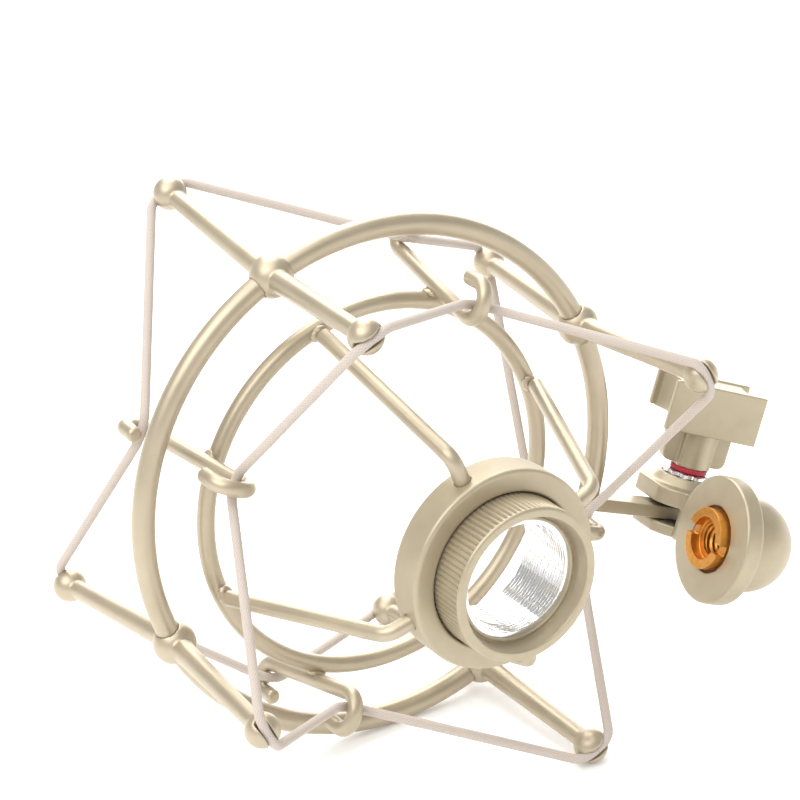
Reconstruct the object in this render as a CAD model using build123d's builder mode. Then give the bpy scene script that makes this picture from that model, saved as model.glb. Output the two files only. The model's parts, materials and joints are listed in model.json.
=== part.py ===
"""Spring-cord microphone cradle: an outer ring with four slotted posts carries an inner
cradle on two loops of elastic cord, and a clamped swivel joins it to a stand thread.

The frame pieces are drawn about the ring's own axis (Z, towards the microphone nut), the
swivel pieces about the pivot axis (Z, towards the knob).  save() lays each piece down in
the pose in which the object lies on a table.
"""

from build123d import *
import math
import os

os.makedirs("parts", exist_ok=True)

# ---- Driving dimensions, millimetres and degrees ------------------------------------
ring_radius = 65.0
ring_rod = 2.8
weld_gap = 0.02

post_length = 47.8
post_root_rod = 2.9
post_tip_rod = 2.25
hub_ball = 5.35
tip_ball = 4.25
slot_width = 2.6
slot_floor = 0.9
# name: angle round the ring, then outward flare and sideways lean of the front and back tips
posts = {
    "top_left": (135, (1.6, 2.3), (8.0, -2.0)),
    "top_right": (45, (2.7, 0.0), (5.0, 0.0)),
    "bottom_left": (225, (2.5, 0.0), (6.0, 0.0)),
    "bottom_right": (315, (3.0, 0.0), (4.6, -1.4)),
}

cord_radius = 1.2
cord_lift = 2.4
cord_post_reach = 4.4
cord_hook_reach = 2.6
cord_bend = 2.9
cord_gap = 0.45

cradle_sag = (0.0, -1.9, -1.0)
cradle_tilt = (0.83, 0.93, -1.45)
inner_radius = 47.8
inner_rod = 2.2
wire = 1.95
hook_slope = 0.207
# end of a hook: height of its bend, width between its legs, bend radius, height of its tip
hook_front = (20.4, 10.0, 4.1, 11.6)
hook_back = (-20.6, 6.7, 3.25, -12.4)
hook_tip_round = 1.2
hooks = {"top": 91.3, "left": 179.4, "bottom": 268.4, "right": 0.8}
strut_turn = -3.7
strut_start_z = 4.2
strut_bend = (30.8, 50.9)
strut_bend_radius = 4.0
strut_end = (23.0, 51.8)
struts = {"top_left": 135, "top_right": 46.5, "bottom_left": 225, "bottom_right": 315}

collar_radius = 24.8
collar_bottom = 46.9
collar_top = 56.3
collar_bore = 17.3
collar_round = 0.9
recess_radius = 19.4
recess_depth = 1.6
glide_outer = 18.8
glide_inner = 17.4
glide_thickness = 0.5
axial_play = 0.1

nut_radius = 19.0
nut_top = 65.6
nut_bevel = 0.8
nut_shank = 17.05
dish_outer = 16.6
dish_inner = 15.8
dish_depth = 4.2
lip_radius = 15.5
lip_drop = 3.75
insert_outer = 14.6
insert_drop = 4.5
mic_thread = 13.5
retainer_thickness = 0.9
retainer_radius = 18.45
retainer_gap = (6.0, 4.0)
groove_outer = 17.55
groove_inner = 16.15
shank_end = 1.0

pivot = (95.8, 0.45, 0.0)
swivel_turn = -8.0
tongue_thickness = 3.5
tongue_width = 8.0
pivot_hole = 2.6
stud_radius = 2.5
lower_ear_radius = 10.6
upper_ear_radius = 12.2
ear_flat_share = 0.9
fork_bottom = -5.3
fork_top = 7.5
slot_bottom = -2.25
slot_top = 2.9
slot_end = 9.5
boss_radius = 9.0
boss_top = 10.0
boss_top_radius = 7.3
neck_width = 11.0
neck_end = 26.0
dome_offset = 32.0
dome_rise = 2.0
flange_start = -9.0
flange_radius = 16.5
flange_thickness = 5.0
dome_radius = 12.4
dome_straight = 10.0
rim_round = 0.7
stand_thread_outer = 7.94
stand_thread_inner = 4.0
adapter_standout = 2.4
adapter_length = 13.0
relief_radius = 8.69
relief_depth = 1.6
adapter_step_bore = 5.5
adapter_step_depth = 2.8
screwdriver_slot = (2.6, 2.2)
screwdriver_turn = -84.0

washer_radius = 6.9
friction_washer_radius = 7.5
washer_thickness = 1.2
red_washer_radius = 5.0
knob_turn = -17.0
knob_base = boss_top + 2 * washer_thickness
hub_radius = 4.7
hub_flat = 5.6
fin_width = 18.2
fin_thickness = 3.2
fin_lift = 0.8
fin_corner = 2.2
head_depth = 13.0
head_width = 24.0
head_scoop = 2.2
head_bottom = 25.3
head_top = 35.1
knob_top = 35.6
front_plate = (26.2, 13.3)
back_plate = (26.8, 9.9)
plate_thickness = 1.6
stud_grip = 12.0
stud_recess = 0.4
stud_bevel = 0.5

# ---- Resting pose -------------------------------------------------------------------
lying_tilt = 1.209
lying_roll = -21.888
ring_centre = (-23.328, 6.022, 67.785)
frame_place = Location(ring_centre, (90 + lying_tilt, 0, lying_roll))
cradle_place = frame_place * Location(cradle_sag, cradle_tilt)
pivot_place = frame_place * Location(pivot, (-90, 0, 0))
swivel_place = pivot_place * Location((0, 0, 0), (0, 0, swivel_turn))
knob_place = pivot_place * Location((0, 0, 0), (0, 0, knob_turn))


def save(piece, name, place):
    """Label a finished piece, put it in the resting pose and write its STEP file."""
    placed = piece.part.moved(place)
    placed.label = name
    export_step(placed, f"parts/{name}.step")


def at_angle(radius, side, height, angle):
    """A point given by its distance outward, sideways and along the ring's axis."""
    turn = math.radians(angle)
    x = radius * math.cos(turn) - side * math.sin(turn)
    y = radius * math.sin(turn) + side * math.cos(turn)
    return Vector(x, y, height)


# ---- Outer frame --------------------------------------------------------------------
with BuildPart() as outer_ring:
    Torus(ring_radius, ring_rod)
save(outer_ring, "outer_ring", frame_place)


def post_tips(name):
    """The two ball centres of a post: front, then back."""
    angle, (front_flare, front_lean), (back_flare, back_lean) = posts[name]
    front = at_angle(ring_radius + front_flare, front_lean, post_length, angle)
    back = at_angle(ring_radius + back_flare, back_lean, -post_length, angle)
    return front, back


rooted = (Align.CENTER, Align.CENTER, Align.MIN)
for name in posts:
    angle = posts[name][0]
    hub = at_angle(ring_radius, 0, 0, angle)
    with BuildPart() as post:
        with Locations(hub):
            Sphere(hub_ball)
        for tip in post_tips(name):
            outward_end = 1 if tip.Z > 0 else -1
            reach = tip - hub
            with Locations(Plane(origin=hub, z_dir=reach)):
                Cone(post_root_rod, post_tip_rod, reach.length, align=rooted)
            with Locations(tip):
                Sphere(tip_ball)
            floor = tip + Vector(0, 0, outward_end * (slot_floor + tip_ball))
            with Locations(Location(floor, (0, 0, angle))):
                Box(slot_width, 4 * tip_ball, 2 * tip_ball, mode=Mode.SUBTRACT)
        Torus(ring_radius, ring_rod + weld_gap, mode=Mode.SUBTRACT)
    save(post, f"post_{name}", frame_place)

with BuildPart() as tongue:
    with BuildSketch(Plane.XZ.offset(-pivot[1] - tongue_thickness / 2)):
        with Locations((ring_radius, 0)):
            Rectangle(pivot[0] - ring_radius, tongue_width, align=(Align.MIN, Align.CENTER))
        with Locations((pivot[0], 0)):
            Circle(tongue_width / 2)
            Circle(pivot_hole, mode=Mode.SUBTRACT)
    extrude(amount=tongue_thickness)
    Torus(ring_radius, ring_rod + weld_gap, mode=Mode.SUBTRACT)
save(tongue, "swivel_tongue", frame_place)


# ---- Elastic cord loops -------------------------------------------------------------
def hook_leg(height):
    """Distance of a hook's long leg from the cradle's axis at a height."""
    lean = math.cos(math.atan(hook_slope))
    return inner_radius + (inner_rod + wire + weld_gap) / lean - hook_slope * height


def cord_stations(side):
    """The three points at each post and hook that one loop passes, in order; side is 1 or -1."""
    post_order = ("top_left", "bottom_left", "bottom_right", "top_right")
    hook_order = ("left", "bottom", "right", "top")
    stations = []
    for post_name, hook_name in zip(post_order, hook_order):
        tip = post_tips(post_name)[0 if side > 0 else 1] + Vector(0, 0, side * cord_lift)
        along = at_angle(0, cord_post_reach, 0, posts[post_name][0])
        stations.append((tip - along, tip, tip + along))
        bend_height = hook_front[0] if side > 0 else hook_back[0]
        height = bend_height - side * (wire + cord_radius + cord_gap)
        radius = hook_leg(height) + wire + cord_radius + cord_gap
        seat = Plane(Location(cradle_sag, cradle_tilt))
        points = [
            seat.from_local_coords(at_angle(radius, reach, height, hooks[hook_name]))
            for reach in (-cord_hook_reach, 0, cord_hook_reach)
        ]
        stations.append(tuple(points))
    return stations


for name, side in (("front_cord", 1), ("back_cord", -1)):
    stations = cord_stations(side)
    with BuildPart() as cord:
        for first, second in zip(stations, stations[1:] + stations[:1]):
            with BuildLine() as span:
                FilletPolyline(first[1], first[2], second[0], second[1], radius=cord_bend)
            with BuildSketch(Plane(origin=first[1], z_dir=first[2] - first[1])):
                Circle(cord_radius)
            sweep(path=span.wires()[0])
            straight = (second[0] - first[2]).length
            print(name, "straight run", round(straight, 1), "bend radius", cord_bend)
    print(name, "length", round(cord.part.volume / (math.pi * cord_radius**2), 1))
    save(cord, name, frame_place)

# ---- Cradle -------------------------------------------------------------------------
with BuildPart() as inner_ring:
    Torus(inner_radius, inner_rod)
save(inner_ring, "inner_ring", cradle_place)

for name, angle in hooks.items():
    outward = at_angle(1, 0, 0, angle)
    hook_plane = Plane(origin=(0, 0, 0), x_dir=outward, z_dir=at_angle(0, -1, 0, angle))
    front_height, front_width, front_bend, front_tip = hook_front
    back_height, back_width, back_bend, back_tip = hook_back
    front_leg = hook_leg(front_height)
    back_leg = hook_leg(back_height)
    with BuildPart() as hook:
        with BuildLine(hook_plane) as bent_wire:
            FilletPolyline(
                (back_leg + back_width, back_tip),
                (back_leg + back_width, back_height),
                (back_leg, back_height),
                (front_leg, front_height),
                (front_leg + front_width, front_height),
                (front_leg + front_width, front_tip),
                radius=(back_bend, back_bend, front_bend, front_bend),
            )
        path = bent_wire.wires()[0]
        with BuildSketch(Plane(origin=path @ 0, z_dir=path % 0)):
            Circle(wire)
        sweep(path=path)
        tips = hook.faces().filter_by(GeomType.PLANE).edges()
        fillet(tips, hook_tip_round)
    save(hook, f"hook_{name}", cradle_place)

for name, angle in struts.items():
    strut_angle = angle + strut_turn
    outward = at_angle(1, 0, 0, strut_angle)
    strut_plane = Plane(origin=(0, 0, 0), x_dir=outward, z_dir=at_angle(0, -1, 0, strut_angle))
    with BuildPart() as strut:
        with BuildLine(strut_plane) as bent_wire:
            FilletPolyline(
                (inner_radius, strut_start_z),
                strut_bend,
                strut_end,
                radius=strut_bend_radius,
            )
        path = bent_wire.wires()[0]
        with BuildSketch(Plane(origin=path @ 0, z_dir=path % 0)):
            Circle(wire)
        sweep(path=path)
        Torus(inner_radius, inner_rod + weld_gap, mode=Mode.SUBTRACT)
    save(strut, f"strut_{name}", cradle_place)

with BuildPart() as collar:
    with BuildSketch(Plane.XY.offset(collar_bottom)):
        Circle(collar_radius)
        Circle(collar_bore, mode=Mode.SUBTRACT)
    extrude(amount=collar_top - collar_bottom)
    with BuildSketch(Plane.XY.offset(collar_top - recess_depth)):
        Circle(recess_radius)
    extrude(amount=recess_depth, mode=Mode.SUBTRACT)
    outer_edges = collar.edges().filter_by(GeomType.CIRCLE).group_by(SortBy.RADIUS)[-1]
    fillet(outer_edges, collar_round)
    for angle in struts.values():
        strut_angle = angle + strut_turn
        start = at_angle(strut_bend[0], 0, strut_bend[1], strut_angle)
        finish = at_angle(strut_end[0], 0, strut_end[1], strut_angle)
        inward = finish - start
        with Locations(Plane(origin=start, z_dir=inward)):
            Cylinder(wire + weld_gap, inward.length + weld_gap, align=rooted, mode=Mode.SUBTRACT)
save(collar, "collar", cradle_place)

recess_floor = collar_top - recess_depth
with BuildPart() as glide_washer:
    with BuildSketch(Plane.XY.offset(recess_floor)):
        Circle(glide_outer)
        Circle(glide_inner, mode=Mode.SUBTRACT)
    extrude(amount=glide_thickness)
save(glide_washer, "glide_washer", cradle_place)

# ---- Microphone nut -----------------------------------------------------------------
nut_seat = recess_floor + glide_thickness + axial_play / 2
retainer_bottom = collar_bottom - axial_play - retainer_thickness
shank_bottom = retainer_bottom - shank_end
with BuildPart() as ring_nut:
    with BuildSketch(Plane.XZ):
        with BuildLine():
            Polyline(
                (insert_outer, shank_bottom),
                (nut_shank, shank_bottom),
                (nut_shank, nut_seat),
                (nut_radius, nut_seat),
                (nut_radius, nut_top - nut_bevel),
                (nut_radius - nut_bevel, nut_top),
                (dish_outer, nut_top),
                (dish_inner, nut_top - dish_depth),
                (lip_radius, nut_top - lip_drop),
                (insert_outer, nut_top - lip_drop),
                close=True,
            )
        make_face()
    revolve(axis=Axis.Z)
    with BuildSketch(Plane.XY.offset(retainer_bottom)):
        Circle(groove_outer)
        Circle(groove_inner, mode=Mode.SUBTRACT)
    extrude(amount=retainer_thickness, mode=Mode.SUBTRACT)
save(ring_nut, "ring_nut", cradle_place)

with BuildPart() as thread_insert:
    with BuildSketch(Plane.XY.offset(shank_bottom)):
        Circle(insert_outer - weld_gap)
        Circle(mic_thread, mode=Mode.SUBTRACT)
    extrude(amount=nut_top - insert_drop - shank_bottom)
save(thread_insert, "thread_insert", cradle_place)

with BuildPart() as nut_retainer:
    with BuildSketch(Plane.XY.offset(retainer_bottom + weld_gap)):
        Circle(retainer_radius)
        Circle(groove_inner + axial_play, mode=Mode.SUBTRACT)
        with Locations((nut_shank, 0)):
            Rectangle(*retainer_gap, mode=Mode.SUBTRACT)
    extrude(amount=retainer_thickness - 2 * weld_gap)
save(nut_retainer, "nut_retainer", cradle_place)

# ---- Stand adapter, about the pivot axis --------------------------------------------
dome_origin = (flange_start, -dome_offset, dome_rise)
dome_axis_plane = Plane(origin=dome_origin, x_dir=(0, 1, 0), z_dir=(1, 0, 0))
dome_section_plane = Plane(origin=dome_origin, x_dir=(1, 0, 0), z_dir=(0, -1, 0))
dome_axis = Axis(dome_origin, (1, 0, 0))
dome_end = dome_straight + dome_radius
with BuildPart() as stand_adapter:
    for radius, bottom, top in (
        (lower_ear_radius, fork_bottom, slot_bottom),
        (upper_ear_radius, slot_top, fork_top),
    ):
        with BuildSketch(Plane.XY.offset(bottom)):
            Circle(radius)
            Rectangle(2 * radius * ear_flat_share, 2 * radius, mode=Mode.INTERSECT)
        extrude(amount=top - bottom)
    with BuildSketch(Plane.XY.offset(fork_bottom)):
        with Locations((0, -slot_end)):
            Rectangle(neck_width, neck_end - slot_end, align=(Align.CENTER, Align.MAX))
    extrude(amount=fork_top - fork_bottom)
    with BuildSketch(dome_section_plane) as dome_section:
        with BuildLine():
            Polyline(
                (dome_straight, dome_radius),
                (flange_thickness, dome_radius),
                (flange_thickness, flange_radius),
                (0, flange_radius),
                (0, 0),
                (dome_end, 0),
            )
            RadiusArc((dome_end, 0), (dome_straight, dome_radius), -dome_radius)
        make_face()
        rim = dome_section.vertices().group_by(Axis.Y)[-1]
        fillet(rim, rim_round)
    revolve(axis=dome_axis)
    with BuildSketch(Plane.XY.offset(slot_bottom)):
        with Locations((0, -slot_end)):
            Rectangle(4 * upper_ear_radius, 4 * upper_ear_radius, align=(Align.CENTER, Align.MIN))
    extrude(amount=slot_top - slot_bottom, mode=Mode.SUBTRACT)
    with Locations((0, 0, fork_top)):
        Cone(boss_radius, boss_top_radius, boss_top - fork_top, align=rooted)
    with BuildSketch(Plane.XY.offset(fork_bottom)):
        Circle(pivot_hole)
    extrude(amount=boss_top - fork_bottom, mode=Mode.SUBTRACT)
    with BuildSketch(dome_axis_plane):
        Circle(stand_thread_outer + weld_gap)
    extrude(amount=adapter_length, mode=Mode.SUBTRACT)
    with BuildSketch(dome_axis_plane):
        Circle(relief_radius)
    extrude(amount=relief_depth, mode=Mode.SUBTRACT)
save(stand_adapter, "stand_adapter", swivel_place)

adapter_face = dome_axis_plane.offset(-adapter_standout)
with BuildPart() as thread_adapter:
    with BuildSketch(adapter_face):
        Circle(stand_thread_outer)
        Circle(stand_thread_inner, mode=Mode.SUBTRACT)
    extrude(amount=adapter_length)
    with BuildSketch(adapter_face):
        Circle(adapter_step_bore)
    extrude(amount=adapter_step_depth, mode=Mode.SUBTRACT)
    with BuildSketch(adapter_face):
        Rectangle(screwdriver_slot[0], 3 * stand_thread_outer, rotation=screwdriver_turn)
    extrude(amount=screwdriver_slot[1], mode=Mode.SUBTRACT)
save(thread_adapter, "thread_adapter", swivel_place)

half_tongue = tongue_thickness / 2
for name, bottom, top in (
    ("friction_washer_upper", half_tongue + weld_gap, slot_top - weld_gap),
    ("friction_washer_lower", slot_bottom + weld_gap, -half_tongue - weld_gap),
):
    with BuildPart() as friction_washer:
        with BuildSketch(Plane.XY.offset(bottom)):
            Circle(friction_washer_radius)
            Circle(pivot_hole, mode=Mode.SUBTRACT)
        extrude(amount=top - bottom)
    save(friction_washer, name, swivel_place)

with BuildPart() as spring_washer:
    with BuildSketch(Plane.XY.offset(boss_top)):
        Circle(washer_radius)
        Circle(pivot_hole, mode=Mode.SUBTRACT)
    extrude(amount=washer_thickness)
save(spring_washer, "spring_washer", swivel_place)

# ---- Clamp knob ---------------------------------------------------------------------
with BuildPart() as red_washer:
    with BuildSketch(Plane.XY.offset(boss_top + washer_thickness)):
        Circle(red_washer_radius)
        Circle(pivot_hole, mode=Mode.SUBTRACT)
    extrude(amount=washer_thickness)
save(red_washer, "red_washer", knob_place)

half_width = head_width / 2
half_depth = head_depth / 2
with BuildPart() as knob:
    with BuildSketch(Plane.XY.offset(knob_base)):
        Circle(hub_radius)
        Rectangle(2 * hub_radius, hub_flat)
    extrude(amount=head_bottom - knob_base)
    with BuildSketch(Plane.XZ.offset(-fin_thickness / 2)) as fin:
        with Locations((0, knob_base + fin_lift)):
            Rectangle(fin_width, head_bottom - knob_base, align=(Align.CENTER, Align.MIN))
        fillet(fin.vertices().group_by(Axis.Y)[0], fin_corner)
    extrude(amount=fin_thickness)
    with BuildSketch(Plane.XY.offset(head_bottom)):
        with BuildLine():
            right_back = Vector(half_width, half_depth)
            right_front = Vector(half_width, -half_depth)
            Line(-right_front, right_back)
            ThreePointArc(right_back, (half_width - head_scoop, 0), right_front)
            Line(right_front, -right_back)
            ThreePointArc(-right_back, (head_scoop - half_width, 0), -right_front)
        make_face()
    extrude(amount=head_top - head_bottom)
    for (width, height), depth in ((front_plate, -half_depth), (back_plate, half_depth)):
        with Locations((0, depth, knob_top)):
            Box(width, plate_thickness, height, align=(Align.CENTER, Align.CENTER, Align.MAX))
    with BuildSketch(Plane.XY.offset(knob_base)):
        Circle(stud_radius + weld_gap)
    extrude(amount=stud_grip, mode=Mode.SUBTRACT)
save(knob, "clamp_knob", knob_place)

stud_bottom = fork_bottom + stud_recess
stud_top = knob_base + stud_grip - axial_play
with BuildPart() as stud:
    with BuildSketch(Plane.XY.offset(stud_bottom)):
        Circle(stud_radius)
    extrude(amount=stud_top - stud_bottom)
    chamfer(stud.edges().group_by(Axis.Z)[0], stud_bevel)
save(stud, "clamp_stud", knob_place)
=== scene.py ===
"""Looks for a spring-cord microphone cradle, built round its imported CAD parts.

The scene is in metres.  The sizes of the pieces are named in millimetres and multiplied by mm.
The frame pieces are drawn about the outer ring's axis (Z towards the microphone nut, X towards
the swivel); the swivel and knob are drawn about the pivot axis.
"""

import json
import math

import bmesh
import bpy
import numpy as np
from mathutils import Matrix, Vector, noise


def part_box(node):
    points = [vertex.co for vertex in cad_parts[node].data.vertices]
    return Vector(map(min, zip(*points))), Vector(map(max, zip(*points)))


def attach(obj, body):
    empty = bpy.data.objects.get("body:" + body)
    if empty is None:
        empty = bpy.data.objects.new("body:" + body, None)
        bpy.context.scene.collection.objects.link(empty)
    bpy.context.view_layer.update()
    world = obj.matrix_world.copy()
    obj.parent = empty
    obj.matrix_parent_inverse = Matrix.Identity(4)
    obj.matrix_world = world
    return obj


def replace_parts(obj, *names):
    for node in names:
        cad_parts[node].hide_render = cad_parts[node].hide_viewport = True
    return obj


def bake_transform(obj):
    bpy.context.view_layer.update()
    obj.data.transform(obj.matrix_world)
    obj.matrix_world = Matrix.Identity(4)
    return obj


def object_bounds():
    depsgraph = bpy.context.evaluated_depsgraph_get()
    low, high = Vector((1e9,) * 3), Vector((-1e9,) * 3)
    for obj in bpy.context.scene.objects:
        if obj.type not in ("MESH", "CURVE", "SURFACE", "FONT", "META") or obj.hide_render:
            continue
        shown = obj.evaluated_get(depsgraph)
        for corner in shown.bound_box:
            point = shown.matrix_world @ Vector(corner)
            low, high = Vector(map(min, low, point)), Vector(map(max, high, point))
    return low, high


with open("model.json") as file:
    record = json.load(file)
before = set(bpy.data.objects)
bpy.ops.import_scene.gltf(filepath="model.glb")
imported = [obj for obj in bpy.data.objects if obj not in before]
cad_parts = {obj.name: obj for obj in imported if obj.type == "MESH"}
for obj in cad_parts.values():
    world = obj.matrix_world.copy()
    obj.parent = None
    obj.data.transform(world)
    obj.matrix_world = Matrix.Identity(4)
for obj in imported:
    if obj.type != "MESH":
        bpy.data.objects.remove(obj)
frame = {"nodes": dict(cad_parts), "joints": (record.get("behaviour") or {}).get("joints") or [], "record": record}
cad_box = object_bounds()
mm = 0.001
joints = {joint["name"]: joint for joint in frame["joints"]}


# ---- Places -------------------------------------------------------------------------
def box_centre(node):
    """Centre of a CAD node's box, which is a round part's own centre."""
    low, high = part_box(node)
    return (low + high) / 2


def axes(origin, z_axis, towards):
    """A placement with Z along one direction and X as near as it can be to another."""
    z = Vector(z_axis).normalized()
    x = (Vector(towards) - z * z.dot(Vector(towards))).normalized()
    y = z.cross(x)
    turn = Matrix((x, y, z)).transposed().to_4x4()
    return Matrix.Translation(origin) @ turn


def spin(degrees, axis="Z"):
    """A turn about one of the coordinate axes."""
    return Matrix.Rotation(math.radians(degrees), 4, axis)


pivot = (95.8, 0.45)
cradle_sag = Vector((0, -1.9, -1.0)) * mm
cradle_tilt = (0.83, 0.93, -1.45)
swivel_turn = -8.0
knob_turn = -17.0

ring_centre = box_centre("outer_ring")
to_pivot = Vector(joints["swivel"]["pos_m"]) - ring_centre
to_swivel = axes(ring_centre, joints["suspension"]["axis"], to_pivot)
frame_place = to_swivel @ spin(-math.degrees(math.atan2(pivot[1], pivot[0])))
tilt_x, tilt_y, tilt_z = (spin(angle, axis) for angle, axis in zip(cradle_tilt, "XYZ"))
cradle_place = frame_place @ Matrix.Translation(cradle_sag) @ tilt_x @ tilt_y @ tilt_z
pivot_place = axes(joints["swivel"]["pos_m"], joints["swivel"]["axis"], frame_place.col[0].xyz)
swivel_place = pivot_place @ spin(swivel_turn)
knob_place = pivot_place @ spin(knob_turn)

# ---- Camera -------------------------------------------------------------------------
camera_azimuth = 29.69
camera_elevation = 22.27
camera_roll = 4.44
camera_lens = 122.67
camera_place = Vector((-321.6, -529.4, 339.4)) * mm


def make_camera():
    """The camera at the photograph's viewing angle."""
    data = bpy.data.cameras.new("camera")
    data.lens = camera_lens
    camera = bpy.data.objects.new("camera", data)
    bpy.context.scene.collection.objects.link(camera)
    level = spin(-camera_azimuth) @ spin(90 - camera_elevation, "X")
    camera.matrix_world = Matrix.Translation(camera_place) @ level @ spin(-camera_roll)
    bpy.context.scene.camera = camera


# ---- Materials ----------------------------------------------------------------------
class Shader:
    """A material under construction, with short calls to add and join its nodes."""

    def __init__(self, name):
        self.material = bpy.data.materials.new(name)
        self.material.use_nodes = True
        self.tree = self.material.node_tree
        self.surface = self.tree.nodes["Principled BSDF"]
        self.place = self.add("ShaderNodeTexCoord").outputs["Object"]

    def add(self, kind, **values):
        """A new node, with the values of its sockets given by name."""
        node = self.tree.nodes.new(kind)
        for key, value in values.items():
            node.inputs[key.replace("_", " ")].default_value = value
        return node

    def join(self, source, target):
        self.tree.links.new(source, target)

    def put(self, **values):
        """Set sockets of the surface shader itself."""
        for key, value in values.items():
            self.surface.inputs[key.replace("_", " ")].default_value = value

    def noise(self, scale, detail=3.0, roughness=0.55):
        """Fine variation, from 0 to 1, in the object's own coordinates."""
        node = self.add("ShaderNodeTexNoise", Scale=scale, Detail=detail, Roughness=roughness)
        self.join(self.place, node.inputs["Vector"])
        return node.outputs["Fac"]

    def ramp(self, source, stops):
        """The source turned into a colour by (position, colour) stops."""
        node = self.add("ShaderNodeValToRGB")
        elements = node.color_ramp.elements
        for element, (position, colour) in zip(elements, (stops[0], stops[-1])):
            element.position = position
            element.color = colour
        for position, colour in stops[1:-1]:
            elements.new(position).color = colour
        self.join(source, node.inputs["Fac"])
        return node.outputs["Color"]

    def spread(self, source, low, high):
        """The source, from 0 to 1, mapped to a range of values."""
        node = self.add("ShaderNodeMapRange", To_Min=low, To_Max=high)
        self.join(source, node.inputs["Value"])
        return node.outputs["Result"]

    def bump(self, source, strength, depth, below=None):
        """A bumped normal, laid over the one below it."""
        node = self.add("ShaderNodeBump", Strength=strength, Distance=depth)
        self.join(source, node.inputs["Height"])
        if below is not None:
            self.join(below, node.inputs["Normal"])
        return node.outputs["Normal"]

    def shade(self, base, roughness, normal=None):
        """Join the finished parts to the surface, and give back the material."""
        links = {"Base Color": base, "Roughness": roughness, "Normal": normal}
        for socket, source in links.items():
            if source is not None:
                self.join(source, self.surface.inputs[socket])
        return self.material


def champagne_paint():
    """Satin champagne enamel with fine pearl, over metal: a soft powdery surface."""
    m = Shader("champagne_paint")
    m.put(Metallic=0.62, Coat_Weight=0.15, Coat_Roughness=0.26, Specular_IOR_Level=0.5)
    patches = m.noise(90.0, 2.0)
    tone = m.ramp(patches, [(0.3, (0.430, 0.365, 0.262, 1)), (0.7, (0.480, 0.411, 0.298, 1))])
    pearl = m.noise(9000.0, 2.0, 0.7)
    orange_peel = m.noise(1400.0, 2.0)
    powder = m.bump(pearl, 0.10, 0.05 * mm)
    surface = m.bump(orange_peel, 0.10, 0.12 * mm, powder)
    return m.shade(tone, m.spread(patches, 0.36, 0.44), surface)


def machined_paint():
    """The same enamel on turned parts."""
    m = Shader("machined_paint")
    m.put(Metallic=0.50, Coat_Weight=0.15, Coat_Roughness=0.3, Specular_IOR_Level=0.5)
    patches = m.noise(120.0, 3.0)
    tone = m.ramp(patches, [(0.3, (0.405, 0.343, 0.238, 1)), (0.7, (0.452, 0.386, 0.270, 1))])
    pearl = m.noise(8000.0, 2.0, 0.7)
    return m.shade(tone, m.spread(patches, 0.38, 0.48), m.bump(pearl, 0.12, 0.05 * mm))


def elastic_cord():
    """Pale pink-beige braided sleeve of an elastic cord, its colour painted darker in the grooves of the weave and
    lighter on the strand tops: painted shade and painted highlight.
    """
    m = Shader("elastic_cord")
    m.put(Metallic=0.0, Sheen_Weight=0.04, Sheen_Roughness=0.5, Specular_IOR_Level=0.25)
    braid = m.add("ShaderNodeAttribute")
    braid.attribute_name = "braid"
    # painted shade and highlight: the strands' height turns the colour dark in the grooves and light on the tops
    tone = m.ramp(braid.outputs["Fac"], [(0.0, (0.22, 0.172, 0.145, 1)),
                                         (0.45, (0.47, 0.405, 0.352, 1)),
                                         (1.0, (0.58, 0.51, 0.45, 1))])
    fibres = m.noise(12000.0, 3.0, 0.7)
    return m.shade(tone, m.spread(fibres, 0.75, 0.95), m.bump(fibres, 0.35, 0.06 * mm))


def orange_anodised():
    """Orange anodised bush, turned, with slightly worn threads."""
    m = Shader("orange_anodised")
    m.put(Metallic=0.85, Specular_IOR_Level=0.5)
    wear = m.noise(700.0, 4.0)
    tone = m.ramp(wear, [(0.25, (0.55, 0.23, 0.035, 1)), (0.75, (0.70, 0.34, 0.075, 1))])
    turning = m.noise(5000.0, 2.0)
    return m.shade(tone, m.spread(wear, 0.26, 0.40), m.bump(turning, 0.15, 0.04 * mm))


def bright_steel():
    """Bright tapped steel of the microphone thread."""
    m = Shader("bright_steel")
    m.put(Metallic=1.0)
    streaks = m.noise(2500.0, 3.0)
    tone = m.ramp(streaks, [(0.2, (0.80, 0.81, 0.82, 1)), (0.8, (0.94, 0.945, 0.95, 1))])
    return m.shade(tone, m.spread(streaks, 0.08, 0.16), m.bump(streaks, 0.04, 0.02 * mm))


def zinc_plate():
    """Bright zinc plate on small hardware."""
    m = Shader("zinc_plate")
    m.put(Metallic=1.0)
    mottle = m.noise(1800.0, 4.0)
    tone = m.ramp(mottle, [(0.25, (0.72, 0.73, 0.76, 1)), (0.75, (0.92, 0.93, 0.94, 1))])
    return m.shade(tone, m.spread(mottle, 0.22, 0.34), m.bump(mottle, 0.12, 0.04 * mm))


def red_fibre():
    """Dull red fibre washer."""
    m = Shader("red_fibre")
    m.put(Metallic=0.0, Specular_IOR_Level=0.4)
    grain = m.noise(3000.0, 4.0)
    tone = m.ramp(grain, [(0.3, (0.38, 0.018, 0.035, 1)), (0.7, (0.52, 0.035, 0.055, 1))])
    return m.shade(tone, m.spread(grain, 0.42, 0.6), m.bump(grain, 0.2, 0.05 * mm))


def black_nylon():
    """Black nylon of the hidden washers."""
    m = Shader("black_nylon")
    m.put(Metallic=0.0, Specular_IOR_Level=0.4)
    grain = m.noise(2500.0, 3.0)
    tone = m.ramp(grain, [(0.3, (0.02, 0.02, 0.021, 1)), (0.7, (0.04, 0.04, 0.041, 1))])
    return m.shade(tone, m.spread(grain, 0.4, 0.6), m.bump(grain, 0.2, 0.05 * mm))


def pale_floor():
    """White sweep that the object lies on."""
    m = Shader("pale_floor")
    m.put(Metallic=0.0, Specular_IOR_Level=0.2, Emission_Strength=0.16)
    m.put(Emission_Color=(1.0, 1.0, 1.0, 1))
    grain = m.noise(60.0, 2.0)
    tone = m.ramp(grain, [(0.3, (0.93, 0.93, 0.93, 1)), (0.7, (0.95, 0.95, 0.95, 1))])
    return m.shade(tone, m.spread(grain, 0.7, 0.8))


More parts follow.
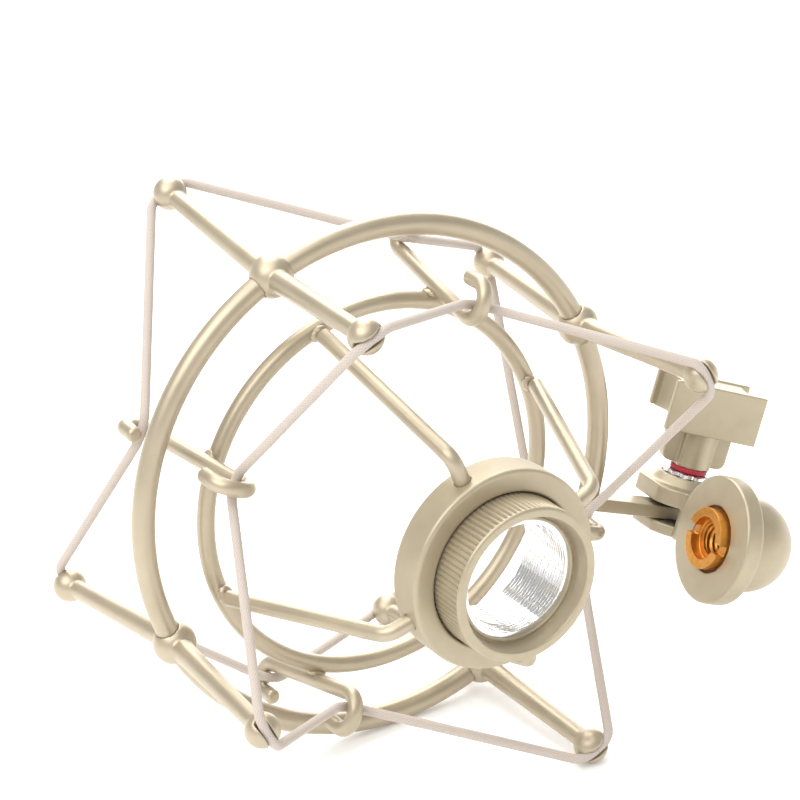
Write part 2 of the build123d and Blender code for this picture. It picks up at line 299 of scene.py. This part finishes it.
paints = {
    "champagne_paint": champagne_paint(),
    "machined_paint": machined_paint(),
    "elastic_cord": elastic_cord(),
    "orange_anodised": orange_anodised(),
    "plain_steel": bright_steel(),
    "chrome": zinc_plate(),
    "red_fibre": red_fibre(),
    "black_nylon": black_nylon(),
}


# ---- Making pieces ------------------------------------------------------------------
thread_edge = 30  # degrees: shading is smooth across gentler edges than these
soft_edge = 35
turned_edge = 40
bore_edge = 50
rounded_edge = 80
weld_distance = 0.005 * mm


def dress(piece, paint):
    """Give a piece its material."""
    piece.data.materials.clear()
    piece.data.materials.append(paints[paint])


def shade_by_angle(mesh, degrees):
    """Smooth shading, kept sharp along the edges that turn by more than an angle."""
    mesh.polygons.foreach_set("use_smooth", [True] * len(mesh.polygons))
    mesh.set_sharp_from_angle(angle=math.radians(degrees))


def new_piece(name, points, faces, place, paint, sharp=soft_edge):
    """A mesh piece from points in a local placement."""
    mesh = bpy.data.meshes.new(name)
    mesh.from_pydata([tuple(p) for p in points], [], faces)
    mesh.transform(place)
    mesh.update()
    shade_by_angle(mesh, sharp)
    piece = bpy.data.objects.new(name, mesh)
    bpy.context.scene.collection.objects.link(piece)
    dress(piece, paint)
    return piece


def grid_faces(rows, columns, close_rows=False):
    """Quads of a grid of points whose columns run round a circle."""
    faces = []
    for row in range(rows if close_rows else rows - 1):
        below = (row + 1) % rows
        for column in range(columns):
            after = (column + 1) % columns
            faces.append((row * columns + column, row * columns + after,
                          below * columns + after, below * columns + column))
    return faces


def finer(outline, step):
    """A closed outline of (radius, height) with extra points along its long sides."""
    points = []
    for start, end in zip(outline, outline[1:] + outline[:1]):
        count = max(1, math.ceil(math.dist(start, end) / step))
        for k in range(count):
            share = k / count
            points.append(tuple(a + (b - a) * share for a, b in zip(start, end)))
    return points


def turned(name, outline, place, paint, columns, change, sharp=soft_edge):
    """A part turned about Z from a closed outline, reshaped by change(radius, height, angle)."""
    points = []
    for radius, height in outline:
        for column in range(columns):
            angle = 2 * math.pi * column / columns
            r, z = change(radius, height, angle)
            points.append((r * math.cos(angle) * mm, r * math.sin(angle) * mm, z * mm))
    faces = grid_faces(len(outline), columns, close_rows=True)
    return new_piece(name, points, faces, place, paint, sharp)


def cast_copy(node, place, voxel, passes):
    """A CAD node's copy with every edge and inner corner softly rounded, as cast and painted."""
    source = frame["nodes"][node]
    mesh = source.data.copy()
    mesh.name = f"{node}_cast"
    mesh.transform(place.inverted())
    piece = bpy.data.objects.new(f"{node}_cast", mesh)
    bpy.context.scene.collection.objects.link(piece)
    piece.modifiers.new("weld", "WELD").merge_threshold = weld_distance
    remesh = piece.modifiers.new("remesh", "REMESH")
    remesh.mode = "VOXEL"
    remesh.voxel_size = voxel
    smooth = piece.modifiers.new("smooth", "SMOOTH")
    smooth.iterations = passes
    shown = piece.evaluated_get(bpy.context.evaluated_depsgraph_get())
    piece.data = bpy.data.meshes.new_from_object(shown)
    piece.modifiers.clear()
    piece.data.transform(place)
    piece.data.polygons.foreach_set("use_smooth", [True] * len(piece.data.polygons))
    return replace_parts(piece, node)


# ---- Elastic cord -------------------------------------------------------------------
ring_radius = 65.0
post_length = 47.8
# name: angle round the ring, then outward flare and sideways lean of the front and back tips
posts = {
    "top_left": (135, (1.6, 2.3), (8.0, -2.0)),
    "top_right": (45, (2.7, 0.0), (5.0, 0.0)),
    "bottom_left": (225, (2.5, 0.0), (6.0, 0.0)),
    "bottom_right": (315, (3.0, 0.0), (4.6, -1.4)),
}
cord_radius = 1.2
cord_lift = 2.4
cord_post_reach = 4.4
cord_hook_reach = 2.6
cord_gap = 0.45
cord_turn_in = 5.0
inner_radius = 47.8
inner_rod = 2.2
wire = 1.95
weld_gap = 0.02
hook_slope = 0.207
hook_bends = {1: 20.4, -1: -20.6}
hooks = {"top": 91.3, "left": 179.4, "bottom": 268.4, "right": 0.8}
struts = {"top_left": 135, "top_right": 46.5, "bottom_left": 225, "bottom_right": 315}
strut_turn = -3.7
braid_strands = 10
braid_pitch = 1.1
braid_depth = 0.18
braid_crown = 0.62  # share of a strand's height that is its round top; the rest is the weave
cord_columns = 40
cord_row = 0.16
route_resolution = 48


def at_angle(radius, side, height, angle):
    """A point given by its distance outward, sideways and along the ring's axis."""
    turn = math.radians(angle)
    x = radius * math.cos(turn) - side * math.sin(turn)
    y = radius * math.sin(turn) + side * math.cos(turn)
    return Vector((x, y, height)) * mm


def post_station(name, side):
    """The three route points through the slot of a post's ball; side is 1 in front, -1 behind."""
    angle, front, back = posts[name]
    flare, lean = front if side > 0 else back
    height = side * (post_length + cord_lift)
    tip = at_angle(ring_radius + flare, lean, height, angle)
    along = at_angle(0, cord_post_reach, 0, angle)
    return [frame_place @ (tip + along * k) for k in (-1, 0, 1)]


def hook_station(name, side):
    """The three route points round the bend of a hook."""
    height = hook_bends[side] - side * (wire + cord_radius + cord_gap)
    lean = math.cos(math.atan(hook_slope))
    leg = inner_radius + (inner_rod + wire + weld_gap) / lean - hook_slope * height
    radius = leg + wire + cord_radius + cord_gap
    reaches = (-cord_hook_reach, 0, cord_hook_reach)
    return [cradle_place @ at_angle(radius, reach, height, hooks[name]) for reach in reaches]


def smooth_route(points):
    """Closely spaced points of the smooth curve that a few route points steer."""
    data = bpy.data.curves.new("route", "CURVE")
    data.dimensions = "3D"
    data.resolution_u = route_resolution
    spline = data.splines.new("NURBS")
    spline.points.add(len(points) - 1)
    for point, control in zip(points, spline.points):
        control.co = (*point, 1)
    spline.order_u = 3
    spline.use_endpoint_u = True
    curve = bpy.data.objects.new("route", data)
    line = bpy.data.meshes.new_from_object(curve)
    route = np.array([v.co for v in line.vertices])
    bpy.data.objects.remove(curve)
    return route


def even_points(route, spacing):
    """Points at even distances along a route, their directions and those distances."""
    gaps = np.linalg.norm(np.diff(route, axis=0), axis=1)
    along = np.concatenate([[0], np.cumsum(gaps)])
    count = max(2, int(round(along[-1] / spacing)) + 1)
    stops = np.linspace(0, along[-1], count)
    points = np.stack([np.interp(stops, along, route[:, k]) for k in range(3)], axis=1)
    ahead = np.gradient(points, axis=0)
    ahead /= np.linalg.norm(ahead, axis=1)[:, None]
    return points, ahead, stops


def carried_frames(ahead):
    """Side directions along a route, carried forward without twist."""
    side = np.cross(ahead[0], (0.0, 0.0, 1.0))
    side /= np.linalg.norm(side)
    sides = []
    for direction in ahead:
        side = side - direction * side.dot(direction)
        side = side / np.linalg.norm(side)
        sides.append(side)
    sides = np.array(sides)
    return sides, np.cross(ahead, sides)


def braid_height(angle, distance, pitch):
    """Height, 0 to 1, of two sets of strands that wind opposite ways and pass over and under."""
    around = braid_strands * angle / (2 * math.pi)
    first = around + distance / pitch
    second = around - distance / pitch
    heights = []
    for own, other in ((first, second), (second, first)):
        crown = np.sqrt(np.clip(1 - (2 * (own % 1) - 1) ** 2, 0, 1))
        parity = np.where(np.floor(own) % 2 == 0, 1.0, -1.0)
        wave = parity * np.sin(math.pi * other)
        heights.append((crown, wave if own is first else -wave))
    weave = 1 - braid_crown
    levels = [braid_crown * crown + weave * (0.5 + 0.5 * wave) * crown for crown, wave in heights]
    return np.maximum(*levels)


def braided_span(name, route):
    """A length of braided cord along a route, its strands raised from the surface."""
    columns = cord_columns
    points, ahead, distance = even_points(route, cord_row * mm)
    sides, ups = carried_frames(ahead)
    angle = np.linspace(0, 2 * math.pi, columns, endpoint=False)
    whole_turns = max(1, round(distance[-1] / (braid_pitch * mm)))
    pitch = distance[-1] / whole_turns
    height = braid_height(angle[None, :], distance[:, None], pitch)
    radius = (cord_radius - braid_depth + braid_depth * height) * mm
    across, upward = np.cos(angle)[None, :, None], np.sin(angle)[None, :, None]
    out = across * sides[:, None] + upward * ups[:, None]
    surface = (points[:, None] + out * radius[:, :, None]).reshape(-1, 3)
    faces = grid_faces(len(points), columns)
    faces += [tuple(range(columns))[::-1]]
    faces += [tuple(range((len(points) - 1) * columns, len(points) * columns))]
    span = new_piece(name, surface, faces, Matrix(), "elastic_cord", rounded_edge)
    # the strands' height, which the cord's colour uses as painted shade in the grooves and painted highlight on
    # the tops
    shade = span.data.attributes.new("braid", "FLOAT", "POINT")
    shade.data.foreach_set("value", height.astype(np.float32).ravel())
    return span


def cord_loops():
    """Each loop passes a post's slot and a hook in turn; one span joins each pair."""
    post_order = ("top_left", "bottom_left", "bottom_right", "top_right")
    hook_order = ("left", "bottom", "right", "top")
    for loop, side in (("front_cord", 1), ("back_cord", -1)):
        for place, post in enumerate(post_order):
            after, before = hook_order[place], hook_order[place - 1]
            slot = post_station(post, side)
            # each run starts in the middle of the slot and ends in the middle of the hook
            runs = ((f"{post}_to_{after}", slot[1:], hook_station(after, side)[:2]),
                    (f"{post}_to_{before}", slot[1::-1], hook_station(before, side)[:0:-1]))
            for label, (held, leaves), (meets, hooked) in runs:
                along = (meets - leaves).normalized() * cord_turn_in * mm
                route = smooth_route([held, leaves, leaves + along, meets - along, meets, hooked])
                span = braided_span(f"{loop}_{label}", route)
                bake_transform(span)
                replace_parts(span, loop)


# ---- Microphone nut -----------------------------------------------------------------
nut_radius = 19.0
nut_seat = 55.25
nut_top = 65.6
nut_bottom = 44.9
nut_shank = 17.05
insert_outer = 14.6
mic_thread = 13.5
nut_step = 0.6
knurls = 89
knurl_depth = 0.45
knurl_columns = 12
knurl_start, knurl_start_fade = 0.15, 0.4
knurl_end, knurl_end_fade = 0.75, 0.3
insert_drop = 4.5
thread_pitch = 0.94
thread_depth = 0.35
thread_crest = 0.66
thread_row = 0.06
thread_columns = 256
thread_lead_in = 0.6
same_radius = 0.01


def knurled(radius, height, angle):
    """Straight knurling on the grip of the nut, fading out near its two ends."""
    fade = min(1.0, max(0.0, height - nut_seat - knurl_start) / knurl_start_fade,
               max(0.0, nut_top - knurl_end - height) / knurl_end_fade)
    if radius < nut_radius - same_radius or fade <= 0:
        return radius, height
    ridge = abs(math.cos(knurls * angle / 2))
    return radius - knurl_depth * (1 - ridge) * fade, height


def microphone_nut():
    """The knurled nut: thin front rim, deep conical dish, a raised lip round the thread."""
    seat_corner = [(insert_outer, nut_bottom), (nut_shank, nut_bottom), (nut_shank, nut_seat),
                   (nut_radius - 0.25, nut_seat), (nut_radius, nut_seat + 0.25)]
    # (radius, depth below the top) of the rounded rim, the dish and the lip round the thread
    rim = [(nut_radius, 0.7), (nut_radius - 0.12, 0.35), (nut_radius - 0.45, 0.08),
           (nut_radius - 0.7, 0), (16.9, 0)]
    dish = [(16.7, 0.12), (16.6, 0.4), (15.9, 4.0), (15.75, 4.2), (15.5, 4.15), (15.35, 3.9)]
    lip = [(15.1, 3.75), (14.75, 3.75), (insert_outer, 3.9)]
    front = [(radius, nut_top - depth) for radius, depth in rim + dish + lip]
    outline = finer(seat_corner + front, nut_step)
    nut = turned("ring_nut_knurled", outline, cradle_place, "machined_paint",
                 knurls * knurl_columns, knurled, turned_edge)
    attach(nut, "nut")
    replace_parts(nut, "ring_nut")


def thread_insert():
    """Bright tapped insert: a fine thread all the way along its bore."""
    bottom, top = nut_bottom, nut_top - insert_drop
    outer = insert_outer - weld_gap
    rows = int((top - bottom) / thread_row)
    bore = [(mic_thread, top - thread_row * k) for k in range(rows)]
    outline = [(mic_thread, bottom), (outer, bottom), (outer, top),
               (mic_thread + thread_lead_in, top)] + bore

    def cut(radius, height, angle):
        if radius > mic_thread + same_radius:
            return radius, height
        turn = (height / thread_pitch - angle / (2 * math.pi)) % 1
        crest = thread_crest / 2
        groove = max(0.0, (abs(turn - 0.5) - crest) / (0.5 - crest))
        return mic_thread + thread_depth * groove, height

    insert = turned("thread_insert_tapped", outline, cradle_place, "plain_steel",
                    thread_columns, cut, bore_edge)
    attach(insert, "nut")
    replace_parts(insert, "thread_insert")


# ---- Swivel and knob hardware -------------------------------------------------------
boss_top = 10.0
washer_thickness = 1.2
washer_bore = 2.6
washer_radius = 6.9
washer_inset = 0.15
washer_step = 0.3
washer_teeth = 12
tooth_columns = 20
tooth_root = 4.2
tooth_notch = 0.5
tooth_notch_start = 0.35
tooth_twist = 0.13
red_washer_radius = 5.0
red_washer_edge = 0.2
red_washer_step = 0.25
red_washer_columns = 128
red_washer_wear = 0.06
red_washer_worn_width = 0.3
flange_centre = (-9.0, -32.0, 2.0)
dome_place = swivel_place @ Matrix.Translation(Vector(flange_centre) * mm) @ spin(90, "Y")
adapter_face = -2.4
stand_thread = 4.0
bush_pitch = 1.59
bush_turns = 5.4
bush_steps = 72
bush_lead_in = 3.6
bush_taper_steps = 30
# (out from the bore, along it) of the corners of the thread's ridge
bush_ridge = ((0.06, -0.62), (-0.52, -0.12), (-0.52, 0.12), (0.06, 0.62))


def tooth_washer():
    """Zinc plated lock washer whose teeth are twisted out of its plane."""
    low, high = boss_top + washer_inset, boss_top + washer_thickness - washer_inset
    outline = finer([(washer_bore, low), (washer_radius, low),
                     (washer_radius, high), (washer_bore, high)], washer_step)

    def twist(radius, height, angle):
        reach = max(0.0, (radius - tooth_root) / (washer_radius - tooth_root))
        wave = math.sin(washer_teeth * angle)
        notch = max(0.0, -math.cos(washer_teeth * angle) - tooth_notch_start)
        return radius - tooth_notch * notch * reach, height + tooth_twist * wave * reach

    washer = turned("spring_washer_toothed", outline, swivel_place, "chrome",
                    washer_teeth * tooth_columns, twist, turned_edge)
    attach(washer, "stand_adapter")
    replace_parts(washer, "spring_washer")


def fibre_washer():
    """Red fibre washer with softened edges, slightly uneven round its rim."""
    low, high = boss_top + washer_thickness, boss_top + 2 * washer_thickness
    rim, edge = red_washer_radius, red_washer_edge
    outline = finer([(washer_bore, low), (rim - edge, low), (rim, low + edge), (rim, high - edge),
                     (rim - edge, high), (washer_bore, high)], red_washer_step)

    def worn(radius, height, angle):
        if radius <= rim - red_washer_worn_width:
            return radius, height
        spot = Vector((math.cos(angle), math.sin(angle), height)) * 4
        return radius + red_washer_wear * noise.noise(spot), height

    washer = turned("red_washer_fibre", outline, knob_place, "red_fibre",
                    red_washer_columns, worn)
    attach(washer, "clamp")
    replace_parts(washer, "red_washer")


def bush_thread():
    """The coarse thread in the bore of the orange bush, as a helical ridge."""
    corners = len(bush_ridge)
    count = int(bush_turns * bush_steps)
    points, faces = [], []
    for k in range(count + 1):
        angle = 2 * math.pi * k / bush_steps
        start = adapter_face + bush_lead_in + bush_pitch * k / bush_steps
        taper = min(1.0, k / bush_taper_steps, (count - k) / bush_taper_steps)
        for out, along in bush_ridge:
            radius = stand_thread + (out * taper if out < 0 else out)
            height = start + along * taper
            spot = (radius * math.cos(angle), radius * math.sin(angle), height)
            points.append(tuple(value * mm for value in spot))
    for k in range(count):
        near, far = corners * k, corners * (k + 1)
        for side in range(corners):
            after = (side + 1) % corners
            faces.append((near + side, near + after, far + after, far + side))
    ridge = new_piece("thread_adapter_thread", points, faces, dome_place, "orange_anodised",
                      thread_edge)
    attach(ridge, "stand_adapter")


hook_weld = (1.15, 2.7, 2.7)
strut_weld = (2.0, 2.5, 1.5)
strut_weld_inset = 0.4
strut_weld_height = 2.1
strut_weld_seed = 7
weld_unevenness = 0.10
weld_grain = 2.2


def weld_bead(name, centre, size, turn, body, seed):
    """A small painted-over weld: an uneven mound in the corner between two rods."""
    mesh = bpy.data.meshes.new(name)
    form = bmesh.new()
    bmesh.ops.create_icosphere(form, subdivisions=4, radius=1.0)
    for vertex in form.verts:
        spot = vertex.co * weld_grain + Vector((seed, 0, 0))
        uneven = 1 + weld_unevenness * noise.noise(spot)
        vertex.co = Vector(a * b for a, b in zip(vertex.co, size)) * uneven * mm
    form.to_mesh(mesh)
    form.free()
    mesh.transform(centre @ turn)
    shade_by_angle(mesh, rounded_edge)
    bead = bpy.data.objects.new(name, mesh)
    bpy.context.scene.collection.objects.link(bead)
    dress(bead, "champagne_paint")
    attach(bead, body)


def welds():
    """Beads where the hooks and struts meet the inner ring."""
    def at(radius, height, angle):
        return cradle_place @ Matrix.Translation(at_angle(radius, 0, height, angle))

    for seed, (name, angle) in enumerate(hooks.items()):
        centre = at(inner_radius + inner_rod, 0, angle)
        weld_bead(f"weld_hook_{name}", centre, hook_weld, spin(angle), "cradle", seed)
    for seed, (name, angle) in enumerate(struts.items()):
        centre = at(inner_radius - strut_weld_inset, strut_weld_height, angle + strut_turn)
        weld_bead(f"weld_strut_{name}", centre, strut_weld, spin(angle), "cradle",
                  seed + strut_weld_seed)


# ---- Finish of the CAD nodes --------------------------------------------------------
def cast_parts():
    """Cast and turned parts, with the soft edges that paint leaves."""
    paint, turned_paint, orange = "champagne_paint", "machined_paint", "orange_anodised"
    # node, placement, voxel in mm, smoothing passes, material, slot, body
    parts = [(f"post_{name}", frame_place, 0.3, 6, paint, paint, "frame") for name in posts]
    parts += [
        ("swivel_tongue", frame_place, 0.25, 4, paint, paint, "frame"),
        ("collar", cradle_place, 0.3, 3, turned_paint, paint, "cradle"),
        ("stand_adapter", swivel_place, 0.32, 3, turned_paint, paint, "stand_adapter"),
        ("thread_adapter", dome_place, 0.16, 2, orange, orange, "stand_adapter"),
        ("clamp_knob", knob_place, 0.22, 6, turned_paint, paint, "knob"),
    ]
    for node, place, voxel, passes, material, slot, body in parts:
        part = cast_copy(node, place, voxel * mm, passes)
        dress(part, material)
        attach(part, body)


def finish_kept_nodes():
    """Every CAD node that stays gets the finish of its slot in the record."""
    slots = {part["node"]: part["material_slot"] for part in frame["record"]["subparts"]}
    for name, node in frame["nodes"].items():
        if not node.hide_render:
            dress(node, slots[name])
            node.data.polygons.foreach_set("use_smooth", [True] * len(node.data.polygons))


# ---- Studio -------------------------------------------------------------------------
floor_flat = 2.2  # metres, as the floor's bend and the lights are
floor_bend = 0.8
floor_drop = 0.1 * mm
floor_rim = 80  # degrees that the rim curves up through
floor_steps = 12
floor_columns = 96
world_strength = 0.47
sun_strength = 2.1
sun_spread = 70
sun_turn = (8, -22, 0)


def area_light(name, place, target, size, power):
    """A square softbox that faces a point."""
    data = bpy.data.lights.new(name, "AREA")
    data.energy = power
    data.size = size
    light = bpy.data.objects.new(name, data)
    light.location = place
    light.rotation_euler = (Vector(target) - Vector(place)).to_track_quat("-Z", "Y").to_euler()
    bpy.context.scene.collection.objects.link(light)


def white_floor():
    """A round white floor whose rim curves up, so that low views show no horizon."""
    columns = floor_columns
    outline = []
    for step in range(floor_steps + 1):
        turn = math.radians(floor_rim * step / floor_steps)
        outline.append((floor_flat + floor_bend * math.sin(turn),
                        floor_bend * (1 - math.cos(turn)) - floor_drop))
    points = []
    for radius, height in outline:
        for column in range(columns):
            angle = 2 * math.pi * column / columns
            points.append((radius * math.cos(angle), radius * math.sin(angle), height))
    mesh = bpy.data.meshes.new("floor")
    mesh.from_pydata(points, [], [tuple(range(columns))] + grid_faces(len(outline), columns))
    mesh.materials.append(pale_floor())
    shade_by_angle(mesh, soft_edge)
    floor = bpy.data.objects.new("floor", mesh)
    bpy.context.scene.collection.objects.link(floor)


def studio():
    """White floor, pale surroundings and soft lights from above."""
    white_floor()
    world = bpy.data.worlds.new("studio")
    world.use_nodes = True
    surround = world.node_tree.nodes["Background"]
    surround.inputs["Color"].default_value = (1.0, 0.995, 0.985, 1)
    surround.inputs["Strength"].default_value = world_strength
    bpy.context.scene.world = world
    middle = (cad_box[0] + cad_box[1]) / 2
    sky = bpy.data.lights.new("sky", "SUN")
    sky.energy = sun_strength
    sky.angle = math.radians(sun_spread)
    overhead = bpy.data.objects.new("sky", sky)
    overhead.rotation_euler = [math.radians(angle) for angle in sun_turn]
    bpy.context.scene.collection.objects.link(overhead)
    area_light("key", (-0.60, -0.20, 0.70), middle, size=0.60, power=2.2)
    area_light("top", (0.20, 0.50, 0.90), middle, size=0.70, power=7.0)
    area_light("back", (0.75, 1.10, 0.55), middle, size=1.10, power=9.0)
    bpy.context.scene.view_settings.view_transform = "Standard"


make_camera()
cord_loops()
microphone_nut()
thread_insert()
tooth_washer()
fibre_washer()
bush_thread()
welds()
cast_parts()
finish_kept_nodes()
studio()
